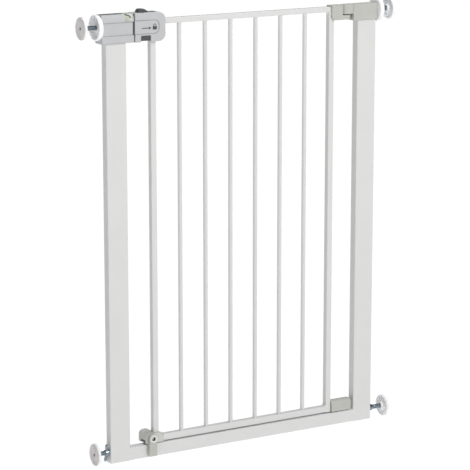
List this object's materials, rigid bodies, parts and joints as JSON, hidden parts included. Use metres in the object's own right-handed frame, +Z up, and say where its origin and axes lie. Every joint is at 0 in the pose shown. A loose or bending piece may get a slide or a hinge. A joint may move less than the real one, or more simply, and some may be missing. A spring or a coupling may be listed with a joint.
{
  "type": "pressure fit stair gate",
  "caption": "Pressure-fit stair gate: steel U-frame, swinging barred door, slide-bolt handle with squeeze trigger, two hinges, foot stop lever and four screw-out wall pads.",
  "frame": {"origin": "centre of the lower left wall pad's rubber face, the latch-side contact with the wall", "axes": "+X along the gate from the latch post to the hinge post, +Y through the gate away from the side with the stop lever, +Z up"},
  "size_m": [0.72, 0.051, 0.9233],
  "materials": {
    "powder_coat": "semi-gloss white powder coat with a fine orange peel",
    "silver_plastic": "fine-textured silver-grey moulded plastic",
    "hinge_plastic": "satin warm-grey moulded plastic",
    "dark_plastic": "matte charcoal plastic with a soft touch",
    "white_plastic": "satin white moulded plastic",
    "nylon": "natural nylon",
    "grey_rubber": "matte grey rubber, lightly ringed",
    "zinc_steel": "bright blue-passivated zinc plating",
    "lens_plastic": "clear moulded plastic window",
    "indicator_plastic": "green indicator slide with a white end band"
  },
  "bodies": {
    "frame": {"left_post": "powder_coat", "right_post": "powder_coat", "sill_rail": "powder_coat", "spindle_bush_top_left": "nylon", "spindle_bush_bottom_left": "nylon", "spindle_bush_top_right": "nylon", "spindle_bush_bottom_right": "nylon", "latch_housing_front": "silver_plastic", "latch_housing_rear": "silver_plastic", "housing_top_strip": "dark_plastic", "indicator_lens": "lens_plastic", "housing_screw_1": "zinc_steel", "housing_screw_2": "zinc_steel", "keeper_plate": "zinc_steel", "strike_buffer": "dark_plastic", "top_hinge_bracket": "hinge_plastic", "top_hinge_pin": "zinc_steel", "bottom_pivot_stud": "zinc_steel"},
    "door": {"latch_stile": "powder_coat", "hinge_stile": "powder_coat", "door_top_rail": "powder_coat", "door_bottom_rail": "powder_coat", "door_bar_1": "powder_coat", "door_bar_2": "powder_coat", "door_bar_3": "powder_coat", "door_bar_4": "powder_coat", "door_bar_5": "powder_coat", "door_bar_6": "powder_coat", "top_hinge_block": "hinge_plastic", "bottom_hinge_block": "hinge_plastic", "handle_front": "silver_plastic", "handle_rear": "silver_plastic", "handle_top_strip": "dark_plastic", "handle_screw_1": "zinc_steel", "handle_screw_2": "zinc_steel", "foot_catch_body": "hinge_plastic", "lever_pivot_pin": "white_plastic", "trigger_spring": "zinc_steel"},
    "bolt": {"latch_bolt": "zinc_steel", "thumb_slide": "dark_plastic"},
    "trigger": {"squeeze_trigger": "dark_plastic"},
    "lever": {"stop_lever": "hinge_plastic"},
    "indicator": {"indicator_slide": "indicator_plastic"},
    "wheel_top_left": {"hand_wheel_top_left": "white_plastic"},
    "spindle_top_left": {"spindle_top_left": "zinc_steel", "wall_pad_top_left": "white_plastic", "pad_facing_top_left": "grey_rubber"},
    "nut_bottom_left": {"wing_nut_bottom_left": "zinc_steel"},
    "spindle_bottom_left": {"spindle_bottom_left": "zinc_steel", "wall_pad_bottom_left": "white_plastic", "pad_facing_bottom_left": "grey_rubber"},
    "wheel_top_right": {"hand_wheel_top_right": "white_plastic"},
    "spindle_top_right": {"spindle_top_right": "zinc_steel", "wall_pad_top_right": "white_plastic", "pad_facing_top_right": "grey_rubber"},
    "nut_bottom_right": {"wing_nut_bottom_right": "zinc_steel"},
    "spindle_bottom_right": {"spindle_bottom_right": "zinc_steel", "wall_pad_bottom_right": "white_plastic", "pad_facing_bottom_right": "grey_rubber"}
  },
  "joints": [
    {"name": "door_swing", "type": "hinge", "parent": "frame", "child": "door", "pos_m": [0.593, 0, 0.4285], "axis": [0, 0, 1], "range_deg": [0, 90]},
    {"name": "bolt_slide", "type": "slide", "parent": "door", "child": "bolt", "axis": [-1, 0, 0], "range_m": [0, 0.01]},
    {"name": "trigger_squeeze", "type": "slide", "parent": "door", "child": "trigger", "axis": [0, 0, 1], "range_m": [0, 0.004], "stiffness_N_per_m": 600, "springref_m": -0.002, "deforming": ["trigger_spring"]},
    {"name": "stop_lever_turn", "type": "hinge", "parent": "door", "child": "lever", "pos_m": [0.1257, -0.017, 0.0196], "axis": [0, 1, 0], "range_deg": [0, 180]},
    {"name": "indicator_shift", "type": "slide", "parent": "frame", "child": "indicator", "axis": [1, 0, 0], "range_m": [-0.0025, 0.0025], "stiffness_N_per_m": 100},
    {"name": "wheel_top_left_turn", "type": "hinge", "parent": "frame", "child": "wheel_top_left", "pos_m": [0.018, 0, 0.8685], "axis": [-1, 0, 0], "range_deg": [-4575, 4575]},
    {"name": "spindle_top_left_feed", "type": "slide", "parent": "frame", "child": "spindle_top_left", "axis": [-1, 0, 0], "range_m": [-0.019, 0.019]},
    {"name": "nut_bottom_left_turn", "type": "hinge", "parent": "frame", "child": "nut_bottom_left", "pos_m": [0.018, 0, 0], "axis": [-1, 0, 0], "range_deg": [-8655, 615]},
    {"name": "spindle_bottom_left_feed", "type": "slide", "parent": "frame", "child": "spindle_bottom_left", "axis": [-1, 0, 0], "range_m": [-0.0025, 0.036]},
    {"name": "wheel_top_right_turn", "type": "hinge", "parent": "frame", "child": "wheel_top_right", "pos_m": [0.669, 0, 0.8685], "axis": [1, 0, 0], "range_deg": [-6975, 2175]},
    {"name": "spindle_top_right_feed", "type": "slide", "parent": "frame", "child": "spindle_top_right", "axis": [1, 0, 0], "range_m": [-0.009, 0.029]},
    {"name": "nut_bottom_right_turn", "type": "hinge", "parent": "frame", "child": "nut_bottom_right", "pos_m": [0.669, 0, 0], "axis": [1, 0, 0], "range_deg": [-6975, 2175]},
    {"name": "spindle_bottom_right_feed", "type": "slide", "parent": "frame", "child": "spindle_bottom_right", "axis": [1, 0, 0], "range_m": [-0.009, 0.029]}
  ],
  "couplings": [
    {"joint": "wheel_top_left_turn", "follows": "spindle_top_left_feed", "rad_per_m": -4188.8},
    {"joint": "nut_bottom_left_turn", "follows": "spindle_bottom_left_feed", "rad_per_m": -4188.8},
    {"joint": "wheel_top_right_turn", "follows": "spindle_top_right_feed", "rad_per_m": -4188.8},
    {"joint": "nut_bottom_right_turn", "follows": "spindle_bottom_right_feed", "rad_per_m": -4188.8}
  ]
}
